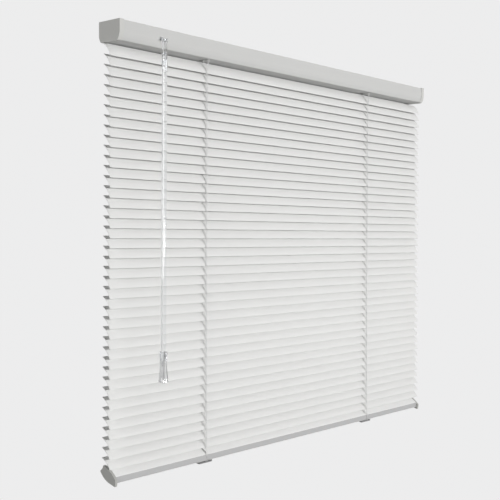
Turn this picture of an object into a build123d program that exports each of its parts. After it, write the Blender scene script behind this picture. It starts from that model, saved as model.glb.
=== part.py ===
from build123d import *
import math
import os

# Mini blind: a headrail, a row of crowned slats hung on two ladders, a bottom rail
# and a clear tilt wand. Millimetres, +Z up, X along the slats, the room on the -Y side.
# The origin lies on the headrail's back face, midway along it.

# Headrail
headrail_length = 889.0
headrail_depth = 47.3
headrail_height = 30.8
headrail_wall = 0.8
headrail_lip = 6.0
headrail_floor_inset = 5.0
headrail_flat_height = 15.5
headrail_floor_radius = 2.5
mount_drop = 9.0
end_cap_thickness = 2.2
end_cap_overhang = 0.9
end_cap_sleeve_length = 7.0
end_cap_plug_length = 12.0
end_cap_plug_wall = 1.6

# Slats
slat_count = 42
slat_overhang = 5.5
slat_chord = 25.4
slat_crown = 2.2
slat_thickness = 0.5
slat_corner_radius = 1.4
slat_pitch = 15.46
first_slat_drop = 44.4
tilt_axis_setback = 22.0
top_slat_tilt = 51.0
bottom_slat_tilt = 41.0
route_hole_width = 2.0
route_hole_length = 13.0

# Bottom rail, hung below the last slat
rail_width = 39.4
rail_thickness = 17.4
rail_wall = 1.5
rail_edge_radius = 2.0
rail_tilt = 32.0
rail_drop = 21.0
rail_cap_thickness = 4.5
rail_cap_plug_length = 14.0
rail_cap_plug_wall = 1.5
clip_length = 32.0
clip_width = 9.0
clip_thickness = 2.4
clip_corner_radius = 2.0
clip_toe_height = 1.4
clip_toe_width = 3.0

# Ladders and lift cords
left_ladder_inset = 206.5
right_ladder_inset = 200.0
ladder_cord = 0.9
ladder_reach = 1.5
rung_thickness = 0.7
rung_drop = 1.0
lift_cord_diameter = 1.2
lift_cord_shift = 1.3
lift_cord_bend = 3.5
lift_cord_height = 4.6
left_cord_lane = 15.9
right_cord_lane = 13.4
cord_slot_width = 8.0
cord_slot_length = 27.0
cord_spread = 12.4

# Tilt rod, drums and cradles
rod_drop = 20.0
rod_across_flats = 5.0
rod_overhang = 14.0
drum_radius = 8.0
drum_width = 9.0
drum_offset = 0.4
journal_radius = 4.0
cradle_wall = 1.8
cradle_base = 1.0
cradle_depth = 29.0
cradle_wall_depth = 21.0
cradle_gap = 1.2
cradle_crown = 2.2

# Tilter: worm, gear and housing
wand_inset = 87.0
housing_width = 20.0
housing_depth = 29.0
housing_setback = 7.5
housing_wall = 1.6
housing_headroom = 2.2
gear_teeth = 20
gear_radius = 7.6
gear_width = 7.0
gear_tooth_height = 1.3
gear_tooth_width = 1.2
worm_radius = 2.6
worm_length = 14.0
stem_angle = 20.0
stem_radius = 2.2
stem_neck_radius = 1.2
stem_neck_length = 5.0
stem_ball_radius = 1.7
wand_standoff = 8.0

# Wand
hook_bar_length = 10.6
hook_bar_radius = 3.2
hook_bore_radius = 2.0
hook_slot_width = 3.0
hook_slot_start = -25.0
hook_slot_sweep = 150.0
hook_shank_width = 7.6
hook_shank_thickness = 3.4
hook_drop = 15.4
pivot_radius = 2.3
pivot_length = 6.3
pivot_head_radius = 3.0
pivot_head_length = 2.2
sleeve_radius = 4.3
sleeve_length = 31.3
sleeve_top_wall = 2.4
sleeve_bore_radius = 3.4
sleeve_bevel = 10.0
rod_hex_radius = 4.0
rod_length = 476.0
rod_entry = 20.0
grip_length = 47.5
grip_top_radius = 6.8
grip_waist_radius = 6.0
grip_end_radius = 8.2
grip_bore_depth = 14.0
grip_waist_share = 0.35
grip_flutes = 6
grip_flute_radius = 1.6
grip_edge_radius = 1.2

# Spring motor that balances the bottom rail
motor_length = 120.0
motor_depth = 33.0
motor_height = 20.0
motor_wall = 1.6
motor_start = 30.0
motor_setback = 7.8
spool_radius = 8.0
spool_flange_radius = 9.8
spool_flange = 1.2
spool_height = 14.0
spool_first = 24.0
spool_spacing = 34.0
spring_drum_radius = 10.0
post_radius = 2.0

# Clearances
running_gap = 0.1
free_gap = 0.3
overrun = 3.0

# Places worked out from the sizes above
front_y = -headrail_depth
mid_y = -headrail_depth / 2
top_z = mount_drop
bottom_z = top_z - headrail_height
floor_z = bottom_z + headrail_wall
axis_y = front_y + tilt_axis_setback
rod_z = top_z - rod_drop
left_end_x = -headrail_length / 2
right_end_x = headrail_length / 2
left_ladder_x = left_end_x + left_ladder_inset
right_ladder_x = right_end_x - right_ladder_inset
left_cord_x = left_ladder_x + lift_cord_shift
right_cord_x = right_ladder_x - lift_cord_shift
wand_x = left_end_x + wand_inset
slat_length = headrail_length + 2 * slat_overhang
rail_length = headrail_length - 2 * rail_cap_thickness
half_chord = slat_chord / 2
last_slat = slat_count - 1
rail_z = top_z - first_slat_drop - last_slat * slat_pitch - rail_drop


def slat_tilt(index):
    """Tilt in degrees, front edge down: even over most of the drop, easing off near the rail."""
    eased = (index / last_slat) ** 3
    return top_slat_tilt + (bottom_slat_tilt - top_slat_tilt) * eased


def slat_height(index):
    """Height of a slat's tilt axis."""
    return top_z - first_slat_drop - index * slat_pitch


def across(x, y, z, tilt):
    """Plane across the blind at x whose first axis runs up the tilted chord, front to back."""
    turn = math.radians(tilt)
    return Plane(origin=(x, y, z), x_dir=(0, math.cos(turn), math.sin(turn)), z_dir=(1, 0, 0))


def along(x, y, z, tilt):
    """Plane in the tilted chord, its first axis along the blind."""
    turn = math.radians(tilt)
    return Plane(origin=(x, y, z), x_dir=(1, 0, 0), z_dir=(0, -math.sin(turn), math.cos(turn)))


def headrail_outline():
    """Outline of the headrail's section: upright walls that curve in to a narrower floor."""
    with BuildSketch() as outline:
        with BuildLine():
            curve_z = top_z - headrail_flat_height
            Line((front_y, top_z), (0, top_z))
            Line((0, top_z), (0, curve_z))
            TangentArc((0, curve_z), (-headrail_floor_inset, bottom_z), tangent=(0, -1))
            Line((-headrail_floor_inset, bottom_z), (front_y + headrail_floor_inset, bottom_z))
            TangentArc((front_y, curve_z), (front_y + headrail_floor_inset, bottom_z), tangent=(0, -1))
            Line((front_y, curve_z), (front_y, top_z))
        make_face()
        fillet(outline.vertices().group_by(Axis.Y)[0], radius=headrail_floor_radius)
    return outline.sketch


def grown_outline(amount):
    """Outline of the headrail's section, grown all round."""
    with BuildSketch() as outline:
        add(headrail_outline())
        offset(amount=amount)
    return outline.sketch


def end_cap_outline():
    """Outline of an end cap: the headrail's, grown but flush with its back."""
    with BuildSketch() as outline:
        add(grown_outline(end_cap_overhang))
        with Locations((0, top_z)):
            Rectangle(headrail_depth, 4 * headrail_height, align=(Align.MIN, Align.CENTER), mode=Mode.SUBTRACT)
    return outline.sketch


os.makedirs("parts", exist_ok=True)

# Stem of the worm: it leans down towards the room and ends in a ball
stem_turn = math.radians(stem_angle)
stem_dir = Vector(0, -math.cos(stem_turn), -math.sin(stem_turn))
stem_normal = Vector(0, -math.sin(stem_turn), math.cos(stem_turn))
worm_centre = Vector(wand_x, axis_y, rod_z) + stem_normal * (gear_radius + worm_radius + free_gap)
ball_y = front_y - wand_standoff
stem_reach = (worm_centre.Y - ball_y) / math.cos(stem_turn)
ball_centre = worm_centre + stem_dir * stem_reach

# Headrail: a folded channel, open on top between two lips
channel_half = headrail_length / 2 - end_cap_thickness
with BuildPart() as headrail:
    with BuildSketch(Plane.YZ.offset(-channel_half)):
        add(headrail_outline())
        offset(amount=-headrail_wall, mode=Mode.SUBTRACT)
        with Locations((mid_y, top_z)):
            Rectangle(headrail_depth - 2 * headrail_lip, 4 * headrail_wall, mode=Mode.SUBTRACT)
    extrude(amount=2 * channel_half)
    with BuildSketch(Plane.XY.offset(bottom_z)):
        with Locations((left_ladder_x, axis_y), (right_ladder_x, axis_y)):
            Rectangle(cord_slot_width, cord_slot_length)
    extrude(amount=headrail_wall + free_gap, both=True, mode=Mode.SUBTRACT)
    with BuildSketch(Plane(origin=ball_centre, x_dir=(1, 0, 0), z_dir=-stem_dir)):
        Circle(stem_radius + 2 * free_gap)
    extrude(amount=wand_standoff + overrun, mode=Mode.SUBTRACT)
headrail.part.label = "headrail"
export_step(headrail.part, "parts/headrail.step")

# End caps: a plate over each end, with a short sleeve round the channel and a hollow plug inside it
with BuildPart() as headrail_end_caps:
    for side in (-1, 1):
        with BuildSketch(Plane.YZ.offset(side * channel_half)):
            add(end_cap_outline())
        extrude(amount=side * end_cap_thickness)
        with BuildSketch(Plane.YZ.offset(side * channel_half)):
            add(end_cap_outline())
            add(grown_outline(running_gap), mode=Mode.SUBTRACT)
        extrude(amount=-side * end_cap_sleeve_length)
        with BuildSketch(Plane.YZ.offset(side * channel_half)):
            add(headrail_outline())
            offset(amount=-headrail_wall - free_gap)
            offset(amount=-end_cap_plug_wall, mode=Mode.SUBTRACT)
        extrude(amount=-side * end_cap_plug_length)
headrail_end_caps.part.label = "headrail_end_caps"
export_step(headrail_end_caps.part, "parts/headrail_end_caps.step")

# Tilter housing: a box on the headrail's floor with bores for the gear's hub and the stem
housing_front = front_y + housing_setback
housing_mid_y = housing_front + housing_depth / 2
housing_height = headrail_height - headrail_wall - housing_headroom
with BuildPart() as tilter_housing:
    with BuildSketch(Plane.XY.offset(floor_z)):
        with Locations((wand_x, housing_mid_y)):
            Rectangle(housing_width, housing_depth)
    extrude(amount=housing_height)
    with BuildSketch(Plane.XY.offset(floor_z)):
        with Locations((wand_x, housing_mid_y)):
            Rectangle(housing_width - 2 * housing_wall, housing_depth - 2 * housing_wall)
    extrude(amount=housing_height - housing_wall, mode=Mode.SUBTRACT)
    with BuildSketch(Plane.YZ.offset(wand_x)):
        with Locations((axis_y, rod_z)):
            Circle(journal_radius + running_gap)
    extrude(amount=housing_width, both=True, mode=Mode.SUBTRACT)
    with BuildSketch(Plane(origin=ball_centre, x_dir=(1, 0, 0), z_dir=-stem_dir)):
        Circle(stem_radius + running_gap)
    extrude(amount=stem_reach, mode=Mode.SUBTRACT)
tilter_housing.part.label = "tilter_housing"
export_step(tilter_housing.part, "parts/tilter_housing.step")

# Worm with its stem, one turned piece ending in a ball
with BuildPart() as tilter_worm:
    with BuildSketch(Plane(origin=worm_centre, x_dir=(1, 0, 0), z_dir=stem_dir)):
        Circle(worm_radius)
    extrude(amount=worm_length / 2, both=True)
    with BuildSketch(Plane(origin=worm_centre, x_dir=(1, 0, 0), z_dir=stem_dir)):
        Circle(stem_radius)
    extrude(amount=stem_reach - stem_neck_length)
    with BuildSketch(Plane(origin=worm_centre, x_dir=(1, 0, 0), z_dir=stem_dir)):
        Circle(stem_neck_radius)
    extrude(amount=stem_reach)
    with Locations(ball_centre):
        Sphere(stem_ball_radius)
tilter_worm.part.label = "tilter_worm"
export_step(tilter_worm.part, "parts/tilter_worm.step")

# Worm gear on the tilt rod, with a hub that runs in the housing's cheeks
with BuildPart() as tilter_gear:
    with BuildSketch(Plane.YZ.offset(wand_x)):
        with Locations((axis_y, rod_z)):
            Circle(gear_radius - gear_tooth_height)
            with PolarLocations(gear_radius - gear_tooth_height / 2 - free_gap / 2, gear_teeth):
                Rectangle(gear_tooth_height + free_gap, gear_tooth_width)
    extrude(amount=gear_width / 2, both=True)
    with BuildSketch(Plane.YZ.offset(wand_x)):
        with Locations((axis_y, rod_z)):
            Circle(journal_radius)
    extrude(amount=housing_width / 2, both=True)
    with BuildSketch(Plane.YZ.offset(wand_x)):
        with Locations((axis_y, rod_z)):
            RegularPolygon(rod_across_flats / 2 + running_gap, side_count=6, major_radius=False)
    extrude(amount=housing_width, both=True, mode=Mode.SUBTRACT)
tilter_gear.part.label = "tilter_gear"
export_step(tilter_gear.part, "parts/tilter_gear.step")

# Hexagonal tilt rod from the tilter to the far drum
rod_start = wand_x - rod_overhang
rod_end = right_ladder_x + drum_width + rod_overhang
with BuildPart() as tilt_rod:
    with BuildSketch(Plane.YZ.offset(rod_start)):
        with Locations((axis_y, rod_z)):
            RegularPolygon(rod_across_flats / 2, side_count=6, major_radius=False)
    extrude(amount=rod_end - rod_start)
tilt_rod.part.label = "tilt_rod"
export_step(tilt_rod.part, "parts/tilt_rod.step")

# Drums: each stands just outside its ladder, so that the lift cord can rise beside it
cradle_reach = drum_width + drum_offset + cradle_gap + cradle_wall
with BuildPart() as tilt_drums:
    for ladder_x, side in ((left_ladder_x, -1), (right_ladder_x, 1)):
        inner_face = ladder_x - side * drum_offset
        with BuildSketch(Plane.YZ.offset(inner_face)):
            with Locations((axis_y, rod_z)):
                Circle(drum_radius)
        extrude(amount=side * (drum_width + drum_offset))
        with BuildSketch(Plane.YZ.offset(inner_face - side * (2 * cradle_gap + cradle_wall))):
            with Locations((axis_y, rod_z)):
                Circle(journal_radius)
        extrude(amount=side * (2 * cradle_gap + cradle_wall + cradle_reach))
        with BuildSketch(Plane.YZ.offset(inner_face - side * cradle_reach)):
            with Locations((axis_y, rod_z)):
                RegularPolygon(rod_across_flats / 2 + running_gap, side_count=6, major_radius=False)
        extrude(amount=side * 3 * cradle_reach, mode=Mode.SUBTRACT)
tilt_drums.part.label = "tilt_drums"
export_step(tilt_drums.part, "parts/tilt_drums.step")

# Cradles: a base on the headrail's floor and two walls that carry the drum's journals
cradle_height = rod_z + journal_radius + cradle_crown - floor_z
with BuildPart() as drum_cradles:
    for ladder_x, side in ((left_ladder_x, -1), (right_ladder_x, 1)):
        inner_wall = ladder_x - side * (drum_offset + 2 * cradle_gap + cradle_wall)
        outer_wall = ladder_x + side * (drum_width + cradle_gap)
        span = abs(outer_wall - inner_wall) + cradle_wall
        with BuildSketch(Plane.XY.offset(floor_z)):
            with Locations((inner_wall + side * span / 2, axis_y)):
                Rectangle(span, cradle_depth)
            with Locations((ladder_x, axis_y)):
                Rectangle(cord_slot_width, cord_slot_length, mode=Mode.SUBTRACT)
        extrude(amount=cradle_base)
        for wall_x in (inner_wall, outer_wall):
            with BuildSketch(Plane.YZ.offset(wall_x)):
                with Locations((axis_y, floor_z)):
                    Rectangle(cradle_wall_depth, cradle_height, align=(Align.CENTER, Align.MIN))
                with Locations((axis_y, rod_z)):
                    Circle(journal_radius + running_gap, mode=Mode.SUBTRACT)
            extrude(amount=side * cradle_wall)
drum_cradles.part.label = "drum_cradles"
export_step(drum_cradles.part, "parts/drum_cradles.step")

# Spring motor beyond the right-hand ladder: an open case with posts, spools and a spring drum
motor_x = right_ladder_x + motor_start
motor_y = front_y + motor_setback + motor_depth / 2
right_lane_y = axis_y + right_cord_lane
left_lane_y = axis_y + left_cord_lane
lane_z = floor_z + lift_cord_height
cord_radius = lift_cord_diameter / 2
spool_touch = spool_radius + cord_radius + free_gap
spool_places = (
    (motor_x + spool_first, right_lane_y - spool_touch, spool_radius),
    (motor_x + spool_first + spool_spacing, left_lane_y - spool_touch, spool_radius),
    (motor_x + spool_first + 2 * spool_spacing, motor_y, spring_drum_radius),
)
with BuildPart() as spring_motor_case:
    with BuildSketch(Plane.XY.offset(floor_z)):
        with Locations((motor_x + motor_length / 2, motor_y)):
            Rectangle(motor_length, motor_depth)
    extrude(amount=motor_height)
    with BuildSketch(Plane.XY.offset(floor_z + motor_wall)):
        with Locations((motor_x + motor_length / 2, motor_y)):
            Rectangle(motor_length - 2 * motor_wall, motor_depth - 2 * motor_wall)
    extrude(amount=motor_height, mode=Mode.SUBTRACT)
    with BuildSketch(Plane.XY.offset(floor_z)):
        for spool_x, spool_y, core_radius in spool_places:
            with Locations((spool_x, spool_y)):
                Circle(post_radius)
    extrude(amount=motor_height)
    with BuildSketch(Plane.YZ.offset(motor_x)):
        for lane_y in (right_lane_y, left_lane_y):
            with Locations((lane_y, lane_z)):
                Circle(cord_radius + free_gap)
    extrude(amount=motor_wall + free_gap, mode=Mode.SUBTRACT)
spring_motor_case.part.label = "spring_motor_case"
export_step(spring_motor_case.part, "parts/spring_motor_case.step")

with BuildPart() as spring_motor_spools:
    spool_z = floor_z + motor_wall + free_gap
    for spool_x, spool_y, core_radius in spool_places:
        rim_radius = core_radius + spool_flange_radius - spool_radius
        with BuildSketch(Plane.XY.offset(spool_z)):
            with Locations((spool_x, spool_y)):
                Circle(core_radius)
        extrude(amount=spool_height)
        for rim_z in (spool_z, spool_z + spool_height - spool_flange):
            with BuildSketch(Plane.XY.offset(rim_z)):
                with Locations((spool_x, spool_y)):
                    Circle(rim_radius)
            extrude(amount=spool_flange)
        with BuildSketch(Plane.XY.offset(spool_z)):
            with Locations((spool_x, spool_y)):
                Circle(post_radius + running_gap)
        extrude(amount=spool_height, mode=Mode.SUBTRACT)
spring_motor_spools.part.label = "spring_motor_spools"
export_step(spring_motor_spools.part, "parts/spring_motor_spools.step")

# Wand hook: a short cross tube that snaps over the stem's ball, a shank and a headed pivot
shank_end_z = ball_centre.Z - hook_drop
pivot_end_z = shank_end_z - pivot_length
with BuildPart() as wand_hook:
    with BuildSketch(Plane.YZ.offset(wand_x)):
        with Locations((ball_y, ball_centre.Z)):
            Circle(hook_bar_radius)
    extrude(amount=hook_bar_length / 2, both=True)
    with BuildSketch(Plane.XY.offset(ball_centre.Z)):
        with Locations((wand_x, ball_y)):
            Rectangle(hook_shank_width, hook_shank_thickness)
    extrude(amount=-hook_drop)
    with BuildSketch(Plane.XY.offset(shank_end_z)):
        with Locations((wand_x, ball_y)):
            Circle(pivot_radius)
    extrude(amount=-pivot_length)
    with BuildSketch(Plane.XY.offset(pivot_end_z)):
        with Locations((wand_x, ball_y)):
            Circle(pivot_head_radius)
    extrude(amount=-pivot_head_length)
    with BuildSketch(Plane.YZ.offset(wand_x)):
        with Locations((ball_y, ball_centre.Z)):
            Circle(hook_bore_radius)
    extrude(amount=hook_bar_length, both=True, mode=Mode.SUBTRACT)
    with BuildSketch(Plane.YZ.offset(wand_x)):
        with BuildLine():
            slot_start = math.radians(hook_slot_start)
            slot_end = math.radians(hook_slot_start + hook_slot_sweep)
            slot_mid = (slot_start + slot_end) / 2
            slot_reach = hook_bar_radius + overrun
            centre = Vector(ball_y, ball_centre.Z)
            begin = centre + Vector(math.cos(slot_start), math.sin(slot_start)) * slot_reach
            middle = centre + Vector(math.cos(slot_mid), math.sin(slot_mid)) * slot_reach
            finish = centre + Vector(math.cos(slot_end), math.sin(slot_end)) * slot_reach
            Line(centre, begin)
            ThreePointArc(begin, middle, finish)
            Line(finish, centre)
        make_face()
    extrude(amount=hook_slot_width / 2, both=True, mode=Mode.SUBTRACT)
wand_hook.part.label = "wand_hook"
export_step(wand_hook.part, "parts/wand_hook.step")

# Clear sleeve: it hangs on the pivot's head and grips the top of the rod
sleeve_seat_z = pivot_end_z + free_gap
sleeve_top_z = sleeve_seat_z + sleeve_top_wall
rod_top_z = sleeve_top_z - sleeve_length + rod_entry
bevel_z = sleeve_top_z - sleeve_length
with BuildPart() as wand_sleeve:
    with BuildSketch(Plane.XY.offset(sleeve_top_z)):
        with Locations((wand_x, ball_y)):
            Circle(sleeve_radius)
    extrude(amount=-sleeve_length)
    with BuildSketch(Plane.XY.offset(sleeve_top_z)):
        with Locations((wand_x, ball_y)):
            Circle(pivot_radius + free_gap)
    extrude(amount=-sleeve_top_wall, mode=Mode.SUBTRACT)
    with BuildSketch(Plane.XY.offset(sleeve_seat_z)):
        with Locations((wand_x, ball_y)):
            Circle(sleeve_bore_radius)
    extrude(amount=rod_top_z - sleeve_seat_z, mode=Mode.SUBTRACT)
    with BuildSketch(Plane.XY.offset(rod_top_z)):
        with Locations((wand_x, ball_y)):
            RegularPolygon(rod_hex_radius, side_count=6)
    extrude(amount=-rod_entry, mode=Mode.SUBTRACT)
    with BuildSketch(Plane.XZ.offset(-ball_y)):
        with BuildLine():
            Polyline(
                (wand_x - sleeve_radius, bevel_z),
                (wand_x + sleeve_radius, bevel_z),
                (wand_x - sleeve_radius, bevel_z + sleeve_bevel),
                close=True,
            )
        make_face()
    extrude(amount=sleeve_radius + overrun, both=True, mode=Mode.SUBTRACT)
wand_sleeve.part.label = "wand_sleeve"
export_step(wand_sleeve.part, "parts/wand_sleeve.step")

# Hexagonal wand rod
rod_bottom_z = rod_top_z - rod_length
with BuildPart() as wand_rod:
    with BuildSketch(Plane.XY.offset(rod_top_z)):
        with Locations((wand_x, ball_y)):
            RegularPolygon(rod_hex_radius, side_count=6)
    extrude(amount=-rod_length)
wand_rod.part.label = "wand_rod"
export_step(wand_rod.part, "parts/wand_rod.step")

# Grip: a waisted, fluted handle pressed on the rod's lower end
grip_top_z = rod_bottom_z + grip_bore_depth
grip_end_z = grip_top_z - grip_length
grip_waist_z = grip_top_z - grip_waist_share * grip_length
with BuildPart() as wand_grip:
    with BuildSketch(Plane(origin=(wand_x, ball_y, 0), x_dir=(1, 0, 0), z_dir=(0, -1, 0))):
        with BuildLine():
            Line((0, grip_top_z), (grip_top_radius, grip_top_z))
            Spline(
                (grip_top_radius, grip_top_z),
                (grip_waist_radius, grip_waist_z),
                (grip_end_radius, grip_end_z),
            )
            Line((grip_end_radius, grip_end_z), (0, grip_end_z))
            Line((0, grip_end_z), (0, grip_top_z))
        make_face()
    revolve(axis=Axis((wand_x, ball_y, 0), (0, 0, 1)))
    fillet(wand_grip.edges().filter_by(GeomType.CIRCLE), radius=grip_edge_radius)
    with BuildSketch(Plane.XY.offset(grip_top_z)):
        with Locations((wand_x, ball_y)):
            RegularPolygon(rod_hex_radius, side_count=6)
    extrude(amount=-grip_bore_depth, mode=Mode.SUBTRACT)
    with BuildSketch(Plane.XY.offset(grip_end_z)):
        with Locations((wand_x, ball_y)):
            with PolarLocations(grip_end_radius, grip_flutes):
                Circle(grip_flute_radius)
    extrude(amount=grip_length - 2 * overrun, mode=Mode.SUBTRACT)
wand_grip.part.label = "wand_grip"
export_step(wand_grip.part, "parts/wand_grip.step")

# Slats: one crowned strip each, with rounded corners and a route hole at each ladder
crown_radius = (half_chord**2 + slat_crown**2) / (2 * slat_crown)
strip_angle = math.degrees(math.asin((half_chord + slat_thickness) / crown_radius))
upper_radius = crown_radius + slat_thickness / 2
lower_radius = crown_radius - slat_thickness / 2
crown_centre = (0, slat_crown - crown_radius)
for index in range(slat_count):
    slat_z = slat_height(index)
    tilt = slat_tilt(index)
    with BuildPart() as slat:
        with BuildSketch(across(-slat_length / 2 - overrun, axis_y, slat_z, tilt)):
            with BuildLine():
                upper_face = CenterArc(crown_centre, upper_radius, 90 - strip_angle, 2 * strip_angle)
                lower_face = CenterArc(crown_centre, lower_radius, 90 - strip_angle, 2 * strip_angle)
                Line(upper_face @ 0, lower_face @ 0)
                Line(upper_face @ 1, lower_face @ 1)
            make_face()
        extrude(amount=slat_length + 2 * overrun)
        with BuildSketch(along(0, axis_y, slat_z, tilt)):
            RectangleRounded(slat_length, slat_chord, slat_corner_radius)
            with Locations((left_cord_x, 0), (right_cord_x, 0)):
                SlotOverall(route_hole_length, route_hole_width, rotation=90, mode=Mode.SUBTRACT)
        extrude(amount=2 * slat_crown + overrun, both=True, mode=Mode.INTERSECT)
    slat.part.label = f"slat_{index + 1:02d}"
    export_step(slat.part, f"parts/slat_{index + 1:02d}.step")

# Bottom rail: a hollow section, with its corners as shares of the rail's width and thickness
front_low_shares = (-0.405, -0.10)
front_high_shares = (-0.256, 0.39)
crown_shares = (0.03, 0.46)
back_high_shares = (0.44, 0.36)
back_low_shares = (0.465, -0.26)
keel_shares = (0.19, -0.43)
facet_end_shares = (-0.12, -0.40)

# End caps of the rail, whose nose and underside stand out past the rail
cap_front_low_shares = (-0.50, -0.21)
cap_front_high_shares = (-0.40, 0.32)
cap_crown_shares = (0.03, 0.50)
cap_back_high_shares = (0.47, 0.40)
cap_notch_shares = (0.45, 0.10)
cap_back_low_shares = (0.50, -0.30)
cap_keel_shares = (0.20, -0.50)
cap_facet_end_shares = (-0.12, -0.47)


def rail_point(shares):
    """Point of the rail's section from its shares of width and thickness."""
    return Vector(shares[0] * rail_width, shares[1] * rail_thickness)


def rail_outline():
    """Outline of the bottom rail's section: an upright front, a crowned top and a rounded keel."""
    with BuildSketch() as outline:
        with BuildLine():
            Line(rail_point(front_low_shares), rail_point(front_high_shares))
            ThreePointArc(rail_point(front_high_shares), rail_point(crown_shares), rail_point(back_high_shares))
            Line(rail_point(back_high_shares), rail_point(back_low_shares))
            ThreePointArc(rail_point(back_low_shares), rail_point(keel_shares), rail_point(facet_end_shares))
            Line(rail_point(facet_end_shares), rail_point(front_low_shares))
        make_face()
        fillet(outline.vertices().sort_by(Axis.X)[:2], radius=rail_edge_radius)
    return outline.sketch


def rail_cap_outline():
    """Outline of the rail's end caps, with a small step at the back."""
    front_high = rail_point(cap_front_high_shares)
    back_low = rail_point(cap_back_low_shares)
    with BuildSketch() as outline:
        with BuildLine():
            Line(rail_point(cap_front_low_shares), front_high)
            ThreePointArc(front_high, rail_point(cap_crown_shares), rail_point(cap_back_high_shares))
            Line(rail_point(cap_back_high_shares), rail_point(cap_notch_shares))
            Line(rail_point(cap_notch_shares), back_low)
            ThreePointArc(back_low, rail_point(cap_keel_shares), rail_point(cap_facet_end_shares))
            Line(rail_point(cap_facet_end_shares), rail_point(cap_front_low_shares))
        make_face()
    return outline.sketch


rail_half = rail_length / 2
with BuildPart() as bottom_rail:
    with BuildSketch(across(-rail_half, axis_y, rail_z, rail_tilt)):
        add(rail_outline())
        offset(amount=-rail_wall, kind=Kind.INTERSECTION, mode=Mode.SUBTRACT)
    extrude(amount=rail_length)
    with BuildSketch(along(0, axis_y, rail_z, rail_tilt)):
        with Locations((left_cord_x, 0), (right_cord_x, 0)):
            SlotOverall(route_hole_length, route_hole_width, rotation=90)
    extrude(amount=rail_thickness, mode=Mode.SUBTRACT)
bottom_rail.part.label = "bottom_rail"
export_step(bottom_rail.part, "parts/bottom_rail.step")

with BuildPart() as bottom_rail_end_caps:
    for side in (-1, 1):
        with BuildSketch(across(side * rail_half, axis_y, rail_z, rail_tilt)):
            add(rail_cap_outline())
        extrude(amount=side * rail_cap_thickness)
        with BuildSketch(across(side * rail_half, axis_y, rail_z, rail_tilt)):
            add(rail_outline())
            offset(amount=-rail_wall - free_gap, kind=Kind.INTERSECTION)
            offset(amount=-rail_cap_plug_wall, kind=Kind.INTERSECTION, mode=Mode.SUBTRACT)
        extrude(amount=-side * rail_cap_plug_length)
bottom_rail_end_caps.part.label = "bottom_rail_end_caps"
export_step(bottom_rail_end_caps.part, "parts/bottom_rail_end_caps.step")

# Ladder clips: low bars that snap on the flat under the rail's front edge
facet_start = rail_point(front_low_shares)
facet_run = rail_point(facet_end_shares) - facet_start
facet_dir = facet_run.normalized()
facet_mid = facet_start + facet_run / 2
clip_turn = rail_tilt + math.degrees(math.atan2(facet_dir.Y, facet_dir.X))
clip_seat = across(0, axis_y, rail_z, rail_tilt).from_local_coords(facet_mid)
with BuildPart() as ladder_clips:
    for ladder_x in (left_ladder_x, right_ladder_x):
        with BuildSketch(along(ladder_x, clip_seat.Y, clip_seat.Z, clip_turn)):
            with GridLocations(clip_length / 2 - clip_toe_width, 0, 3, 1):
                RectangleRounded(clip_toe_width, clip_width - clip_toe_width, clip_toe_width / 3)
        extrude(amount=-clip_toe_height)
        with BuildSketch(along(ladder_x, clip_seat.Y, clip_seat.Z, clip_turn).offset(-clip_toe_height)):
            RectangleRounded(clip_length, clip_width, clip_corner_radius)
        extrude(amount=-clip_thickness)
ladder_clips.part.label = "ladder_clips"
export_step(ladder_clips.part, "parts/ladder_clips.step")

# Ladders and lift cords. Each ladder has a cord in front of the slats, one behind them and a
# rung under every slat; each lift cord rises through the route holes and runs to its spool.
rail_frame = across(0, axis_y, rail_z, rail_tilt)
drum_touch = drum_radius + free_gap + ladder_cord / 2
face_gap = free_gap + ladder_cord / 2


def chord_point(index, reach, drop):
    """Point of a slat's section: reach along the chord from its middle, drop below the chord."""
    frame = across(0, axis_y, slat_height(index), slat_tilt(index))
    place = frame.from_local_coords(Vector(reach, -drop))
    return (place.Y, place.Z)


def cord_strip(points):
    """Closed outline of a flat cord: its line moved half a thickness to either side."""
    half = ladder_cord / 2
    near = [(y - half, z) for y, z in points]
    far = [(y + half, z) for y, z in reversed(points)]
    return near + far


ladder_half = half_chord + ladder_reach
face_run = rail_point(front_high_shares) - rail_point(front_low_shares)
face_out = Vector(-face_run.Y, face_run.X).normalized() * face_gap
front_foot = rail_frame.from_local_coords(rail_point(front_high_shares) + face_out)
front_toe = rail_frame.from_local_coords(rail_point(front_low_shares) + face_out)
back_foot = rail_frame.from_local_coords(rail_point(cap_back_high_shares))
front_line = [(axis_y - drum_touch, rod_z), (axis_y - cord_spread, bottom_z)]
back_line = [(axis_y + drum_touch, rod_z), (axis_y + cord_spread, bottom_z)]
rungs = []
for index in range(slat_count):
    front_line.append(chord_point(index, -ladder_half, 0))
    back_line.append(chord_point(index, ladder_half, 0))
    slide = rung_drop * math.tan(math.radians(slat_tilt(index)))
    upper = rung_drop - rung_thickness / 2
    lower = rung_drop + rung_thickness / 2
    rungs.append(
        [
            chord_point(index, -ladder_half - slide, upper),
            chord_point(index, ladder_half - slide, upper),
            chord_point(index, ladder_half - slide, lower),
            chord_point(index, -ladder_half - slide, lower),
        ]
    )
front_line.append((front_foot.Y, front_foot.Z))
front_line.append((front_toe.Y, front_toe.Z))
back_line.append((back_foot.Y, back_foot.Z))

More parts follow.
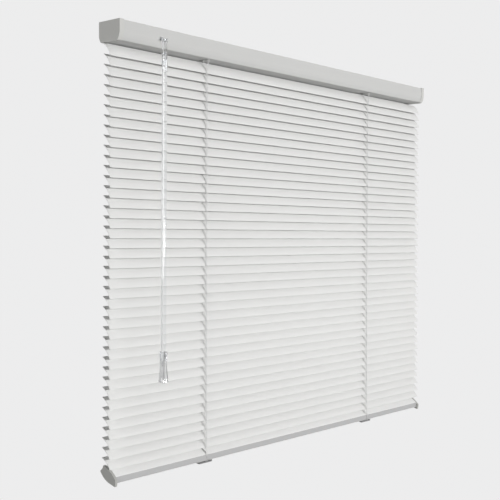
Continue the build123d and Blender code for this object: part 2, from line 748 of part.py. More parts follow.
with BuildPart() as cords:
    for ladder_x in (left_ladder_x, right_ladder_x):
        with BuildSketch(Plane.YZ.offset(ladder_x)):
            for outline in [cord_strip(front_line), cord_strip(back_line)] + rungs:
                with BuildLine():
                    Polyline(*outline, close=True)
                make_face()
        extrude(amount=ladder_cord / 2, both=True)
    for cord_x, lane_y, spool in (
        (left_cord_x, left_lane_y, spool_places[1]),
        (right_cord_x, right_lane_y, spool_places[0]),
    ):
        with BuildLine() as route:
            FilletPolyline(
                (cord_x, axis_y, rail_z),
                (cord_x, axis_y, lane_z),
                (cord_x, lane_y, lane_z),
                (spool[0], lane_y, lane_z),
                radius=lift_cord_bend,
            )
        with BuildSketch(Plane.XY.offset(rail_z)):
            with Locations((cord_x, axis_y)):
                Circle(cord_radius)
        sweep(path=route.wires()[0])
cords.part.label = "ladders_and_lift_cords"
export_step(cords.part, "parts/ladders_and_lift_cords.step")
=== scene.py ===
# %% [markdown]
# # A mini blind, from its CAD frame to a finished look
# The CAD model gives the sizes and the bodies that move. This lesson adds what the eye sees: crowned
# slats with softly rounded corners, braided ladders, a clear wand and plain studio light. Points are
# worked out in millimetres and put into the meshes in metres. +Z is up, X runs along the slats, the room
# is on the -Y side.

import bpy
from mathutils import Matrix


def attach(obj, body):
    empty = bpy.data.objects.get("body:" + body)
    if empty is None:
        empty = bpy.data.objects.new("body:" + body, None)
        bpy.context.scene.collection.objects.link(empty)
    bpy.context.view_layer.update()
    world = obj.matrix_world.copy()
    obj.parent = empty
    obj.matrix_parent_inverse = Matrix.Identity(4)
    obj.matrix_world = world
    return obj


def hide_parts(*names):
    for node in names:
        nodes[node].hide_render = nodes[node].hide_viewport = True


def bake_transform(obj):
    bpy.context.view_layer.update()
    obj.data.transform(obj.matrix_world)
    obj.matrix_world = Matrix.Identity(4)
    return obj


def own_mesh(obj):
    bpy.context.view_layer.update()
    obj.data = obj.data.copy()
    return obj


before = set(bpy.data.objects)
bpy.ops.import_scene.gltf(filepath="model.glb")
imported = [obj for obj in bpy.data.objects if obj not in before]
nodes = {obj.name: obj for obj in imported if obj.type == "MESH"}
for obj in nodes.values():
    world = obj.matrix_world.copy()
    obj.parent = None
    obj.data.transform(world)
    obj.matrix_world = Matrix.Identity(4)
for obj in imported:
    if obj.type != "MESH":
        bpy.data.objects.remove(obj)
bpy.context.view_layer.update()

import math

import bmesh
import bpy
import numpy as np
from mathutils import Matrix, Vector

MM = 0.001

# %% [markdown]
# ## Sizes shared with the CAD model
# On the real blind two ladders hang from drums in the headrail and carry the slats, so all tilt axes lie
# in one upright plane. The slats near the bottom rail tilt a little less than the others. That could be a
# list of angles, but one cubic of the slat's place in the row says it all, and slats, rungs and strands
# then share it.

# %% Headrail, tilt axes and cords
HEADRAIL_LENGTH = 889.0
HEADRAIL_DEPTH = 47.3
HEADRAIL_HEIGHT = 30.8
HEADRAIL_TOP = 9.0
SLATS = 42
PITCH = 15.46
FIRST_DROP = 44.4
AXIS_INSET = 22.0
TOP_TILT = 51.0
TILT_LOSS = 10.0
LADDER_INSETS = (206.5, 200.0)
LIFT_SHIFT = 1.3

END_X = HEADRAIL_LENGTH / 2
FLOOR_Z = HEADRAIL_TOP - HEADRAIL_HEIGHT
FIRST_Z = HEADRAIL_TOP - FIRST_DROP
AXIS_Y = AXIS_INSET - HEADRAIL_DEPTH
LADDERS = (LADDER_INSETS[0] - END_X, END_X - LADDER_INSETS[1])
LIFT_CORDS = (LADDERS[0] + LIFT_SHIFT, LADDERS[1] - LIFT_SHIFT)


def slat_tilt(i):
    """Tilt of slat i in radians, front edge down: the top tilt less a cubic of its place in the row."""
    return math.radians(TOP_TILT - TILT_LOSS * (i / (SLATS - 1)) ** 3)


def slat_z(i):
    """Height of slat i's tilt axis, in millimetres."""
    return FIRST_Z - PITCH * i


def tilted(points, tilt, z):
    """Turns rows of (x, chord, normal) into the blind's (x, y, z) for a tilt axis at height z."""
    p = np.asarray(points, float)
    x, chord, normal = p[..., 0], p[..., 1], p[..., 2]
    c, s = math.cos(tilt), math.sin(tilt)
    return np.stack([x, AXIS_Y + chord * c - normal * s, z + chord * s + normal * c], -1)


LAST_Z = slat_z(SLATS - 1)
print("slat axes from", round(FIRST_Z, 1), "to", round(LAST_Z, 1), "mm")

# %% [markdown]
# ## The bottom rail's section
# The rail is an extrusion with an upright front, a crowned top and a sharp back edge. Its CAD solid stays,
# but the cords that wrap it and the painted shade on its front need a few corners of its section. They are
# shares of its chord and height, so they hold if the rail is resized.

# %% Bottom rail
RAIL_DROP = 21.0
RAIL_TILT = math.radians(32.0)
RAIL_SIZE = np.array((39.4, 17.4))
RAIL_Z = LAST_Z - RAIL_DROP
FRONT_LOW = RAIL_SIZE * (-0.405, -0.10)
FRONT_HIGH = RAIL_SIZE * (-0.256, 0.39)
RAIL_CROWN = RAIL_SIZE * (0.03, 0.46)
BACK_HIGH = RAIL_SIZE * (0.44, 0.36)


def on_rail(x, point):
    """Place in the blind of a (chord, normal) point of the bottom rail's section."""
    return tilted([(x, point[0], point[1])], RAIL_TILT, RAIL_Z)[0]


front_run = on_rail(0.0, FRONT_HIGH) - on_rail(0.0, FRONT_LOW)
front_out = np.array((0.0, -front_run[2], front_run[1])) / np.linalg.norm(front_run)
print("rail axis at", round(RAIL_Z, 1), "mm, its front faces", np.round(front_out, 2).tolist())

# %% [markdown]
# ## Mesh helpers
# Each new piece is a surface worked out as rows of points: a stack of rings, or a ring carried along a
# path. A helper turns points and faces into a mesh object at the origin. It merges doubled points, turns
# the faces outwards and keeps as sharp the edges where two faces meet at a steep angle, so the rest can
# be shaded smooth.


# %% Helpers
def piece(name, points, faces, material, sharp=35.0):
    """Mesh object from points in millimetres; edges steeper than `sharp` degrees stay crisp."""
    mesh = bpy.data.meshes.new(name)
    mesh.from_pydata((np.asarray(points, float) * MM).tolist(), [], [list(face) for face in faces])
    work = bmesh.new()
    work.from_mesh(mesh)
    bmesh.ops.remove_doubles(work, verts=work.verts, dist=2e-6)
    bmesh.ops.recalc_face_normals(work, faces=work.faces)
    limit = math.radians(sharp)
    for face in work.faces:
        face.smooth = True
    for edge in work.edges:
        edge.smooth = len(edge.link_faces) == 2 and edge.calc_face_angle(0.0) < limit
    work.to_mesh(mesh)
    work.free()
    mesh.materials.append(material)
    obj = bpy.data.objects.new(name, mesh)
    bpy.context.scene.collection.objects.link(obj)
    return obj


def loft(rings):
    """Quads between successive rings of equal length, with a cap on the first and the last ring."""
    rings = np.asarray(rings, float)
    index = np.arange(rings.shape[0] * rings.shape[1]).reshape(rings.shape[:2])
    after = np.roll(index, -1, axis=1)
    quads = np.stack([index[:-1], after[:-1], after[1:], index[1:]], -1).reshape(-1, 4)
    return rings.reshape(-1, 3), quads.tolist() + [index[0, ::-1].tolist(), index[-1].tolist()]


def tube(path, radius, sides=8):
    """Round tube along a path: each ring is square to the way from the point before to the next."""
    path = np.asarray(path, float)
    ahead = np.gradient(path, axis=0)
    ahead /= np.linalg.norm(ahead, axis=1, keepdims=True)
    side = np.cross(ahead, (1.0, 0.0, 0.0))
    side /= np.linalg.norm(side, axis=1, keepdims=True)
    other = np.cross(ahead, side)
    turn = np.linspace(0, 2 * math.pi, sides, endpoint=False)[None, :, None]
    around = np.cos(turn) * side[:, None] + np.sin(turn) * other[:, None]
    return loft(path[:, None] + radius * around)


def join(parts):
    """Joins (points, faces) pairs into one pair."""
    points, faces, base = [], [], 0
    for part_points, part_faces in parts:
        points.append(part_points)
        faces += [[base + k for k in face] for face in part_faces]
        base += len(part_points)
    return np.concatenate(points), faces


print("helpers: piece, loft, tube, join")

# %% [markdown]
# ## Materials
# Satin vinyl, enamel, moulded plastic and braid differ in colour, gloss and grain. Image textures could
# give the grain, but noise on stretched object coordinates needs no unwrapping: long streaks on what is
# extruded, a fine orange peel on paint, strands on cords. A second colour is mixed in where a node's
# value says so.


# %% Material helpers
def plain(name, colour, rough, mottle, bump, stretch, **sockets):
    """Principled surface; noise on stretched object coordinates darkens it by a share and adds bump."""
    mat = bpy.data.materials.new(name)
    mat.use_nodes = True
    tree = mat.node_tree
    shader = tree.nodes["Principled BSDF"]
    shader.inputs["Roughness"].default_value = rough
    for key, value in sockets.items():
        shader.inputs[key.replace("_", " ")].default_value = value
    coords = tree.nodes.new("ShaderNodeTexCoord")
    spread = tree.nodes.new("ShaderNodeMapping")
    spread.inputs["Scale"].default_value = stretch
    noise = tree.nodes.new("ShaderNodeTexNoise")
    noise.inputs["Scale"].default_value = 1.0
    mix = tree.nodes.new("ShaderNodeMix")
    mix.data_type = "RGBA"
    mix.inputs["A"].default_value = (*colour, 1.0)
    mix.inputs["B"].default_value = (*[c * (1.0 - mottle) for c in colour], 1.0)
    relief = tree.nodes.new("ShaderNodeBump")
    relief.inputs["Strength"].default_value = bump
    relief.inputs["Distance"].default_value = 0.0005
    tree.links.new(coords.outputs["Object"], spread.inputs["Vector"])
    tree.links.new(spread.outputs["Vector"], noise.inputs["Vector"])
    tree.links.new(noise.outputs["Fac"], mix.inputs["Factor"])
    tree.links.new(noise.outputs["Fac"], relief.inputs["Height"])
    tree.links.new(mix.outputs["Result"], shader.inputs["Base Color"])
    tree.links.new(relief.outputs["Normal"], shader.inputs["Normal"])
    return mat


def tint(mat, colour, share):
    """Mixes another colour into a surface, by a share between 0 and 1 that a node gives at each point."""
    tree = mat.node_tree
    base = tree.nodes["Principled BSDF"].inputs["Base Color"]
    first = base.links[0].from_socket
    mix = tree.nodes.new("ShaderNodeMix")
    mix.data_type = "RGBA"
    mix.inputs["B"].default_value = (*colour, 1.0)
    tree.links.new(share, mix.inputs["Factor"])
    tree.links.new(first, mix.inputs["A"])
    tree.links.new(mix.outputs["Result"], base)


STREAKS = (4.0, 260.0, 260.0)
PEEL = (900.0, 900.0, 900.0)
STRANDS = (2500.0, 2500.0, 700.0)
DRAWN = (500.0, 500.0, 8.0)
print("grain:", STREAKS, PEEL, STRANDS, DRAWN)

# %% Opaque finishes
slat_mat = plain("slat_vinyl", (0.76, 0.76, 0.75), 0.50, 0.02, 0.02, STREAKS)
headrail_mat = plain("headrail_paint", (0.535, 0.535, 0.525), 0.70, 0.02, 0.02, PEEL)
cap_mat = plain("cap_plastic", (0.545, 0.545, 0.525), 0.70, 0.03, 0.03, PEEL)
rail_mat = plain("rail_plastic", (0.86, 0.86, 0.85), 0.50, 0.02, 0.02, STREAKS)
rail_cap_mat = plain("rail_cap_plastic", (0.43, 0.43, 0.41), 0.50, 0.03, 0.03, PEEL)
clip_mat = plain("clip_plastic", (0.22, 0.22, 0.22), 0.50, 0.05, 0.05, PEEL)
cord_mat = plain("cord_braid", (0.75, 0.75, 0.745), 0.85, 0.15, 0.40, STRANDS)
inner_mat = plain("mechanism_plastic", (0.72, 0.72, 0.70), 0.55, 0.03, 0.03, PEEL)
steel_mat = plain("worm_steel", (0.66, 0.67, 0.68), 0.35, 0.06, 0.02, PEEL, Metallic=1.0)
print("opaque finishes done, materials so far:", len(bpy.data.materials))

# %% [markdown]
# ### Painted shade on the rail's front
# The rail's upright front gets painted shade: a grey, darker than its white top. Painting faces of the CAD
# mesh would change it, so the material itself changes colour beyond a plane that lies just under the front
# face.


# %% Painted shade on the rail's front
def shade_beyond_plane(mat, colour, facing, level):
    """Paints a shade colour onto a surface beyond a plane: where a point's reach along facing passes level.
    """
    tree = mat.node_tree
    coords = tree.nodes.new("ShaderNodeTexCoord")
    reach = tree.nodes.new("ShaderNodeVectorMath")
    reach.operation = "DOT_PRODUCT"
    reach.inputs[1].default_value = facing
    beyond = tree.nodes.new("ShaderNodeMath")
    beyond.operation = "GREATER_THAN"
    beyond.inputs[1].default_value = level
    tree.links.new(coords.outputs["Object"], reach.inputs[0])
    tree.links.new(reach.outputs["Value"], beyond.inputs[0])
    tint(mat, colour, beyond.outputs[0])


PLANE_DEPTH = 0.3
shaded_front_level = float(front_out @ on_rail(0.0, FRONT_HIGH) - PLANE_DEPTH) * MM
# Painted shade: the rail's front turns grey beyond this plane.
shade_beyond_plane(rail_mat, (0.42, 0.42, 0.42), tuple(front_out), shaded_front_level)
print("grey front beyond", round(shaded_front_level, 4), "m")

# %% [markdown]
# ### Clear plastic
# The wand is clear acrylic. A transmissive surface bends the light as the real one does. Its edges, and the
# grip's flutes, are darkened with painted shade. Absorption in a volume would be slow and noisy, so the
# painted shade follows the angle of view and a mesh attribute instead.

# %% Clear plastic
CLEAR = (0.93, 0.94, 0.95)
# Colours of the painted shade: at edges seen edge-on, and in the grip's flutes.
EDGE_SHADE = (0.35, 0.35, 0.36)
GROOVE_SHADE = (0.42, 0.42, 0.43)


def clear_plastic(name):
    """Clear acrylic with the fine lengthwise marks of drawing."""
    return plain(name, CLEAR, 0.06, 0.02, 0.02, DRAWN, Transmission_Weight=1.0, IOR=1.49)


def paint_edge_shade(mat, blend):
    """Paints shade into clear plastic where it is seen edge-on."""
    weight = mat.node_tree.nodes.new("ShaderNodeLayerWeight")
    weight.inputs["Blend"].default_value = blend
    tint(mat, EDGE_SHADE, weight.outputs["Facing"])


def paint_groove_shade(mat):
    """Paints shade into clear plastic where a mesh attribute, between 0 and 1, is high."""
    groove_shade = mat.node_tree.nodes.new("ShaderNodeAttribute")
    groove_shade.attribute_name = "groove_shade"
    tint(mat, GROOVE_SHADE, groove_shade.outputs["Fac"])


clear_mat = clear_plastic("clear_plastic")
# Painted shade at the edges of the hook and the sleeve.
paint_edge_shade(clear_mat, 0.40)
rod_mat = clear_plastic("rod_plastic")
grip_mat = clear_plastic("grip_plastic")
# Painted shade in the grip's flutes and at its edges.
paint_groove_shade(grip_mat)
paint_edge_shade(grip_mat, 0.35)
print("materials:", len(bpy.data.materials))

# %% [markdown]
# ## Slats
# A slat is a strip of vinyl, rolled to a shallow crown, with rounded corners and a route hole for each
# lift cord. A boolean could cut the holes and a Solidify modifier give the thickness. Working the sheet
# out as a grid over (x, chord) keeps both exact: columns of points stand closer at the corners and holes,
# and the sheet's own normals, those of a cylinder, move it half a thickness to either side before its rim
# is closed.

# %% Slat sheet
CHORD = 25.4 / 2
CROWN = 2.2
THICK = 0.5
CORNER = 1.4
OVERHANG = 5.5
HALF = END_X + OVERHANG
HOLE = (1.2 / 2, 13.0 / 2)
CROWN_R = (CHORD**2 + CROWN**2) / (2 * CROWN)
ROWS = 7


def slat_columns():
    """The grid's places along x: dense on the corners' quarter circles and across the holes."""
    ends = HALF - CORNER * (1 - np.sin(np.linspace(0, math.pi / 2, 7)))
    holes = [x + HOLE[0] * np.cos(np.linspace(0, math.pi, 11)) for x in LIFT_CORDS]
    even = np.linspace(-HALF + CORNER, HALF - CORNER, 24)
    return np.unique(np.round(np.concatenate([-ends[::-1], ends, *holes, even]), 4))


def slat_sheet():
    """Middle surface of a flat slat as (x, chord, height) points, its normals and its quads.

    The half width follows a quarter circle at the corners. The hole's half length is a superellipse of the
    fourth power. The height over the chord is a circular arc.
    """
    xs = slat_columns()
    past = np.clip(np.abs(xs) - (HALF - CORNER), 0, CORNER)
    half = CHORD - CORNER + np.sqrt(CORNER**2 - past**2)
    off = np.min([np.abs(xs - x) for x in LIFT_CORDS], axis=0) / HOLE[0]
    hole = HOLE[1] * np.clip(1 - off**4, 0, 1) ** 0.25
    solid = (half - hole)[:, None] * np.linspace(0, 1, ROWS)
    chord = np.concatenate([solid - half[:, None], solid + hole[:, None]], 1)
    height = np.sqrt(CROWN_R**2 - chord**2) - CROWN_R + CROWN
    points = np.stack([np.broadcast_to(xs[:, None], chord.shape), chord, height], -1)
    normals = np.stack([np.zeros_like(chord), chord, height - CROWN + CROWN_R], -1) / CROWN_R
    index = np.arange(chord.size).reshape(chord.shape)
    closed = hole < 1e-6
    index[closed, ROWS] = index[closed, ROWS - 1]
    quads = np.stack([index[:-1, :-1], index[1:, :-1], index[1:, 1:], index[:-1, 1:]], -1)
    quads = np.delete(quads, ROWS - 1, axis=1).reshape(-1, 4)
    used = np.unique(quads)
    return points.reshape(-1, 3)[used], normals.reshape(-1, 3)[used], np.searchsorted(used, quads)


def thicken(points, normals, quads, thickness):
    """Closed shell: the sheet moved half a thickness along its normals each way, with its rim joined."""
    count = len(points)
    edges = np.concatenate([np.stack([quads[:, k], quads[:, (k + 1) % 4]], 1) for k in range(4)])
    keys = np.sort(edges, axis=1) @ (count, 1)
    _, inverse, uses = np.unique(keys, return_inverse=True, return_counts=True)
    rim = edges[(uses[inverse] == 1) & (edges[:, 0] != edges[:, 1])]
    shell = np.concatenate([points + normals * thickness / 2, points - normals * thickness / 2])
    sides = np.stack([rim[:, 1], rim[:, 0], rim[:, 0] + count, rim[:, 1] + count], 1)
    return shell, np.concatenate([quads, quads[:, ::-1] + count, sides])


shell_points, shell_faces = thicken(*slat_sheet(), THICK)
print("slat shell:", len(shell_points), "points,", len(shell_faces), "faces")

# %% Hang the slats
for i in range(SLATS):
    name = f"slat_{i + 1:02d}"
    slat = piece("vinyl_" + name, tilted(shell_points, slat_tilt(i), slat_z(i)), shell_faces, slat_mat)
    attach(slat, name)
    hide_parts(name)
print("slats:", SLATS)

# %% [markdown]
# ## Rungs
# Each ladder is a braid with twin strands before and behind the slats and a thin rung over and under
# every slat. A rung follows the slat's crown, so it is a tube along a parabola that bows with it. It
# turns with its slat, so every slat has a piece of its own for its rungs.

# %% Rungs
EDGE_GAP = 1.5
REACH = CHORD + EDGE_GAP
TWIN = 1.2
RUNG_R = 0.22
RUNG_LIFT = 0.7
OFFSETS = [(x, np.sign(cord - x)) for x, cord in zip(LADDERS, LIFT_CORDS)]


def soft(name, parts, body):
    """Piece of braid made of several tubes, riding on a body if one is given."""
    points, faces = join(parts)
    obj = piece(name, points, faces, cord_mat)
    if body:
        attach(obj, body)
    return obj


across = np.linspace(-1, 1, 13)
for i in range(SLATS):
    parts = []
    for x, way in OFFSETS:
        for lift in (RUNG_LIFT, -RUNG_LIFT):
            bow = CROWN * (1 - across**2) + lift * (1 - across**8)
            rung = np.stack([np.full(13, x - way * TWIN), across * REACH, bow], -1)
            parts.append(tube(tilted(rung, slat_tilt(i), slat_z(i)), RUNG_R, 6))
    soft(f"rungs_{i + 1:02d}", parts, f"slat_{i + 1:02d}")
print("rung pieces:", SLATS)

# %% [markdown]
# ## Strands of the ladders
# The strands run down the slats' edges. When the slats close, the edges come nearer to the tilt axes and
# the strands with them. No body moves that way, so the strands ride on the headrail, cut into four zones
# for each ladder, shorter where the tilt changes faster. How much depends on the tilt at rest, so each
# ladder is cut into four zones, shorter where the tilt changes faster.

# %% Strands
STRAND_R = 0.42
SPREAD = 12.4
ZONES = ((0, 18), (18, 28), (28, 35), (35, SLATS - 1))


def edge_point(i, side):
    """Point just outside the front (-1) or back (+1) edge of slat i, as (y, z)."""
    return tuple(tilted([(0.0, side * REACH, 0.0)], slat_tilt(i), slat_z(i))[0, 1:])


def strands(x, line):
    """Twin strands along a line of (y, z) points, either side of x."""
    return [tube([(x + shift, y, z) for y, z in line], STRAND_R) for shift in (-TWIN, TWIN)]


for number, (first, last) in enumerate(ZONES):
    parts = []
    for x in LADDERS:
        for side in (-1, 1):
            line = [edge_point(i, side) for i in range(first, last + 1)]
            if first == 0:
                line.insert(0, (AXIS_Y + side * SPREAD, FLOOR_Z))
            parts += strands(x, line)
    cords = soft(f"ladder_cords_{number + 1}", parts, "headrail")
    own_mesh(cords)
    if number == 0:
        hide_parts("ladders_and_lift_cords")
print("strand zones:", len(ZONES))

# %% [markdown]
# ## Lift cords
# A lift cord rises from the bottom rail through the route holes into the headrail. It hangs straight, so it
# is a plain tube. Below the last slat it enters a slot in the rail's top, which swings when the rail tilts:
# that last bit is a piece of its own, a tube of many rings from just under the last slat to the rail.

# %% Lift cords
LIFT_R = 0.5
LIFT_RISE = 6.0
DRUM_DROP = 20.0
DRUM_REACH = 8.8
TAIL_DROP = 3.0
TAIL_LAP = 0.1
LIFT_TOP = FLOOR_Z + LIFT_RISE
DRUM_Z = HEADRAIL_TOP - DRUM_DROP
TAIL_Z = LAST_Z - TAIL_DROP

parts = []
for x, cord_x in zip(LADDERS, LIFT_CORDS):
    for side in (-1, 1):
        parts += strands(x, [(AXIS_Y + side * DRUM_REACH, DRUM_Z), (AXIS_Y + side * SPREAD, FLOOR_Z)])
    parts.append(tube([(cord_x, AXIS_Y, TAIL_Z), (cord_x, AXIS_Y, LIFT_TOP)], LIFT_R))
soft("lift_cords", parts, "headrail")

heights = np.linspace(TAIL_Z + TAIL_LAP, RAIL_Z, 25)
parts = [tube([(x, AXIS_Y, z) for z in heights], LIFT_R) for x in LIFT_CORDS]
lift_tails = soft("lift_tails", parts, None)
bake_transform(lift_tails)
print("lift cords from", round(RAIL_Z, 1), "to", round(LIFT_TOP, 1), "mm")

# %% [markdown]
# ## Ladder ends at the bottom rail
# Each ladder ends round the bottom rail: a rung lies over its crowned top, the front strands run down its
# front into the clip underneath, and the back strands turn over its back edge. The rung follows the circle
# through three points of the top. The strand tails run from the last slat's edges to the rail.

# %% Rungs over the rail
RAIL_RUNG_R = 0.25
RAIL_RUNG_GAP = 0.3


def arc_over(a, b, c, gap, count):
    """Points at a gap outside the circle through three (chord, normal) points, from a to c."""
    rows = 2 * np.array([b - a, c - a])
    centre = np.linalg.solve(rows, [q @ q - a @ a for q in (b, c)])
    first, last = (math.atan2(*(q - centre)[::-1]) for q in (a, c))
    turn = np.linspace(first, last, count)
    return centre + (np.linalg.norm(a - centre) + gap) * np.stack([np.cos(turn), np.sin(turn)], -1)


parts = []
for x, way in OFFSETS:
    over = arc_over(FRONT_HIGH, RAIL_CROWN, BACK_HIGH, RAIL_RUNG_GAP, 13)
    parts.append(tube([on_rail(x - way * TWIN, p) for p in over], RAIL_RUNG_R, 6))
soft("rail_rungs", parts, "bottom_rail")
print("rail rungs:", len(parts))

# %% Strand tails
CLIP_POINT = FRONT_LOW + (3.0, -2.4)
BACK_TURN = BACK_HIGH + (0.6, 0.4)
BACK_FOOT = BACK_HIGH + (1.0, -4.0)
FACE_GAP = 0.1
off_face = front_out * (STRAND_R + FACE_GAP)
down_front = [on_rail(0.0, p) + off_face for p in (FRONT_HIGH, FRONT_LOW)] + [on_rail(0.0, CLIP_POINT)]
over_back = [on_rail(0.0, p) for p in (BACK_TURN, BACK_FOOT)]
for name, side, route in (("front_tails", -1, down_front), ("back_tails", 1, over_back)):
    line = [edge_point(SLATS - 1, side)] + [tuple(p[1:]) for p in route]
    parts = []
    for x in LADDERS:
        parts += strands(x, line)
    tail = soft(name, parts, None)
    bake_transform(tail)
print("tail pieces: front_tails, back_tails")

# %% [markdown]
# ## Wand rod
# The rod is drawn acrylic, a hexagon with slightly rounded corners, so it is a stack of rings about the
# wand's axis whose radius changes with the angle. A clear piece would throw a black shadow and, seen by
# diffuse rays, pass the bright backdrop on as patches, so shadow and diffuse rays leave it out.

# %% Wand rod
WAND_INSET = 87.0
WAND_STANDOFF = 8.0
BALL_Z = -10.745
HOOK_DROP = 19.0
SLEEVE_LENGTH = 31.3
ROD_SEAT = 20.0
ROD_LENGTH = 476.0
ROD_R = 4.45
ROD_BEVEL = 0.15
BEVEL_STEP = 0.5
ROUNDING = 0.965
WAND_X = WAND_INSET - END_X
WAND_Y = -HEADRAIL_DEPTH - WAND_STANDOFF
ROD_TOP = BALL_Z - HOOK_DROP - SLEEVE_LENGTH + ROD_SEAT
ROD_END = ROD_TOP - ROD_LENGTH
ANGLES = np.linspace(0, 2 * math.pi, 48, endpoint=False)


def ring(radius, z):
    """Ring about the wand's axis at height z, with one radius or a radius for each angle."""
    across_x, across_y = radius * np.cos(ANGLES), radius * np.sin(ANGLES)
    return np.stack([WAND_X + across_x, WAND_Y + across_y, np.full_like(ANGLES, z)], -1)


def hexagon(corner):
    """Radius at each angle: the distance to a hexagon's side, but no more than a share of its corner's."""
    sector = math.pi / 3
    local = (ANGLES + sector / 2) % sector - sector / 2
    side = corner * math.cos(sector / 2) / np.cos(sector / 2 - np.abs(local))
    return np.minimum(side, corner * ROUNDING)


def show_clear(obj, node):
    """Puts a clear piece on the wand in the place of a CAD node, unseen by shadow and diffuse rays."""
    obj.visible_shadow = obj.visible_diffuse = False
    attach(obj, "wand")
    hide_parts(node)


full = hexagon(ROD_R)
rings = [ring(hexagon(ROD_R - ROD_BEVEL), ROD_TOP - BEVEL_STEP)]
rings += [ring(full, ROD_TOP - 2 * BEVEL_STEP), ring(full, ROD_END)]
points, faces = loft(rings)
rod = piece("clear_rod", points, faces, rod_mat, 20.0)
show_clear(rod, "wand_rod")
print("wand rod", round(ROD_TOP, 1), "to", round(ROD_END, 1), "mm")

# %% [markdown]
# ## Wand grip
# The grip is a moulded handle that widens to its foot, with a waist and six flutes. Its radius is a sine
# that pulls in the waist plus a square that opens the foot, and a cosine of the angle cuts the flutes.
# The same cosine goes into the attribute that paints shade into the flutes.

# %% Wand grip
GRIP_LENGTH = 47.5
GRIP_LAP = 14.0
GRIP_R = 6.8
WAIST = 1.3
FLARE = 1.4
FLUTES = 6
FLUTE_DEPTH = 0.9
TOP_RIM = (5.8, 0.4)
FOOT_RIM = (1.2, 0.6, 0.8)
GRIP_TOP = ROD_END + GRIP_LAP
GRIP_END = GRIP_TOP - GRIP_LENGTH


def wave(angle):
    """1 in the middle of a flute and 0 midway between two."""
    return 0.5 + 0.5 * np.cos(FLUTES * angle)


def fluted(radius, depth):
    """Radius at each angle of a ring whose flutes are cut to a depth."""
    return radius - depth * wave(ANGLES) ** 3


along = np.linspace(0, 1, 25)
widths = GRIP_R - WAIST * np.sin(along * math.pi) ** 0.8 + FLARE * along**2
depths = FLUTE_DEPTH * np.clip(along * 4, 0, 1)
rim_radius, rim_height = TOP_RIM
rings = [ring(rim_radius, GRIP_TOP + rim_height)]
rings += [ring(fluted(r, d), GRIP_TOP - GRIP_LENGTH * s) for r, d, s in zip(widths, depths, along)]
foot_bevel, foot_height, foot_flute = FOOT_RIM
rings.append(ring(fluted(widths[-1] - foot_bevel, foot_flute), GRIP_END - foot_height))
points, faces = loft(rings)
grip = piece("clear_grip", points, faces, grip_mat)
places = np.empty(3 * len(grip.data.vertices), np.float32)
grip.data.vertices.foreach_get("co", places)
place_x, place_y, _ = places.reshape(-1, 3).T / MM
# Painted shade: high in the middle of each flute.
groove_shade = wave(np.arctan2(place_y - WAND_Y, place_x - WAND_X)) ** 2
grip.data.attributes.new("groove_shade", "FLOAT", "POINT").data.foreach_set("value", groove_shade.astype(np.float32))
show_clear(grip, "wand_grip")
print("wand grip", round(GRIP_TOP, 1), "to", round(GRIP_END, 1), "mm")

# %% [markdown]
# ## Finishes of the CAD pieces that stay visible
# The headrail, its caps, the bottom rail, the hook, the sleeve and the inner works are plain folded or
# moulded shapes, which the CAD solids give exactly. They keep their meshes and only take the materials
# above.

# %% CAD finishes
finishes = {
    "headrail": headrail_mat,
    "headrail_end_caps": cap_mat,
    "bottom_rail": rail_mat,
    "bottom_rail_end_caps": rail_cap_mat,
    "ladder_clips": clip_mat,
    "tilt_rod": steel_mat,
    "tilter_worm": steel_mat,
    "wand_hook": clear_mat,
    "wand_sleeve": clear_mat,
}
shown = {name: obj for name, obj in nodes.items() if not obj.hide_render}
for name, obj in shown.items():
    mat = finishes.get(name, inner_mat)
    obj.data.materials.clear()
    obj.data.materials.append(mat)
    obj.visible_shadow = obj.visible_diffuse = mat is not clear_mat
print("CAD pieces shown:", len(shown))

# %% [markdown]
# ## Backdrop and floor
# The blind hangs before a pale, even backdrop. Lighting a real one evenly takes many lamps, so the
# camera, and what it sees in or through a surface, gets a plain grey instead, while the other rays meet a
# dim world and a paper floor that throws a little light back.

# %% Backdrop and floor
BACKDROP = (0.845, 0.845, 0.845 * 1.003, 1.0)
FLOOR_REACH = 6000.0
FLOOR_DROP = 1300.0
scene = bpy.context.scene
scene.view_settings.view_transform = "Standard"


def camera_sees(tree, backdrop, lit, output):
    """Shows the backdrop to the camera and to glossy and clear surfaces, and `lit` to the rest."""
    paths = tree.nodes.new("ShaderNodeLightPath")
    glossy = tree.nodes.new("ShaderNodeMath")
    glossy.operation = "MAXIMUM"
    clear = tree.nodes.new("ShaderNodeMath")
    clear.operation = "MAXIMUM"
    mix = tree.nodes.new("ShaderNodeMixShader")
    backdrop.inputs["Color"].default_value = BACKDROP
    tree.links.new(paths.outputs["Is Camera Ray"], glossy.inputs[0])
    tree.links.new(paths.outputs["Is Glossy Ray"], glossy.inputs[1])
    tree.links.new(glossy.outputs[0], clear.inputs[0])
    tree.links.new(paths.outputs["Is Transmission Ray"], clear.inputs[1])
    tree.links.new(clear.outputs[0], mix.inputs["Fac"])
    tree.links.new(lit.outputs[0], mix.inputs[1])
    tree.links.new(backdrop.outputs[0], mix.inputs[2])
    tree.links.new(mix.outputs[0], output.inputs["Surface"])


world = bpy.data.worlds.new("studio")
scene.world = world
world.use_nodes = True
tree = world.node_tree
fill = tree.nodes["Background"]
fill.inputs["Color"].default_value = (1.0, 1.0, 1.0, 1.0)
fill.inputs["Strength"].default_value = 0.05
camera_sees(tree, tree.nodes.new("ShaderNodeBackground"), fill, tree.nodes["World Output"])

floor_mat = bpy.data.materials.new("pale_floor")
floor_mat.use_nodes = True
tree = floor_mat.node_tree
paper = tree.nodes["Principled BSDF"]
paper.inputs["Base Color"].default_value = (0.3, 0.3, 0.3, 1.0)
paper.inputs["Roughness"].default_value = 0.9
camera_sees(tree, tree.nodes.new("ShaderNodeEmission"), paper, tree.nodes["Material Output"])
corners = [(x * FLOOR_REACH, y * FLOOR_REACH, -FLOOR_DROP) for x, y in ((-1, -1), (1, -1), (1, 1), (-1, 1))]
floor = piece("floor", corners, [(0, 1, 2, 3)], floor_mat)
print("floor", FLOOR_DROP, "mm below the origin")

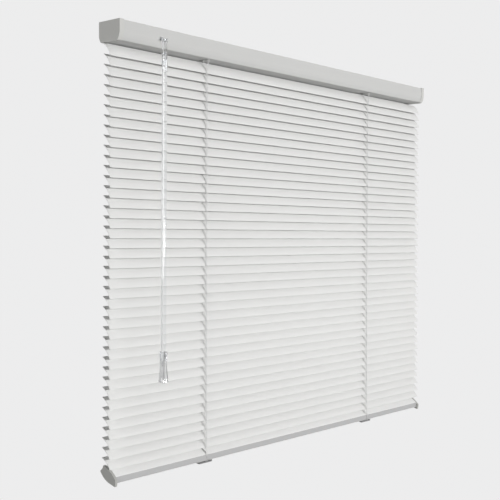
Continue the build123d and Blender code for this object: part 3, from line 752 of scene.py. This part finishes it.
# %% [markdown]
# ## Lamps
# A broad low lamp in front lights the slats' faces and leaves a fine shade under each slat. A second one
# from the left models the caps, and a weak one keeps the back from going black. Area lamps are used
# because their soft shadows suit a studio picture.


# %% Lamps
def lamp(name, place, target, size, power):
    """Oblong area lamp, size across and upright, at a place and facing a target."""
    light = bpy.data.lights.new(name, "AREA")
    light.shape = "RECTANGLE"
    light.size, light.size_y = size
    light.energy = power
    obj = bpy.data.objects.new(name, light)
    scene.collection.objects.link(obj)
    obj.location = place
    obj.rotation_euler = (Vector(target) - Vector(place)).to_track_quat("-Z", "Y").to_euler()


MIDDLE = (0.0, 0.0, -0.3)
lamp("front_lamp", place=(0.4, -3.2, -0.05), target=MIDDLE, size=(3.0, 0.3), power=109.0)
lamp("left_lamp", place=(-3.2, -0.3, 0.4), target=(-0.4, 0.0, -0.3), size=(1.5, 1.5), power=40.0)
lamp("back_lamp", place=(0.3, 3.2, -0.2), target=MIDDLE, size=(3.0, 1.0), power=13.0)
print("lamps:", len(bpy.data.lights))

# %% [markdown]
# ## Camera
# The camera stands to the left of the blind, a little below its middle, and looks along it. Its turn is
# given as yaw, pitch and roll, and the three axes of the camera are worked out from them.

# %% Camera
EYE = (-1.40171, -1.14094, -0.3169)
YAW, PITCH_ANGLE, ROLL = (math.radians(a) for a in (49.076, -0.917, 0.305))
camera = bpy.data.cameras.new("camera")
camera.sensor_width = 36.0
camera.lens = 68.33
eye = bpy.data.objects.new("camera", camera)
scene.collection.objects.link(eye)
flat = math.cos(PITCH_ANGLE)
ahead = Vector((math.sin(YAW) * flat, math.cos(YAW) * flat, math.sin(PITCH_ANGLE)))
level = Vector((math.cos(YAW), -math.sin(YAW), 0.0))
upright = level.cross(ahead)
right = math.cos(ROLL) * level + math.sin(ROLL) * upright
up = -math.sin(ROLL) * level + math.cos(ROLL) * upright
turned = Matrix((right, up, -ahead)).transposed().to_4x4()
eye.matrix_world = Matrix.Translation(EYE) @ turned
scene.camera = eye
print("camera at", tuple(round(v, 3) for v in eye.matrix_world.translation))
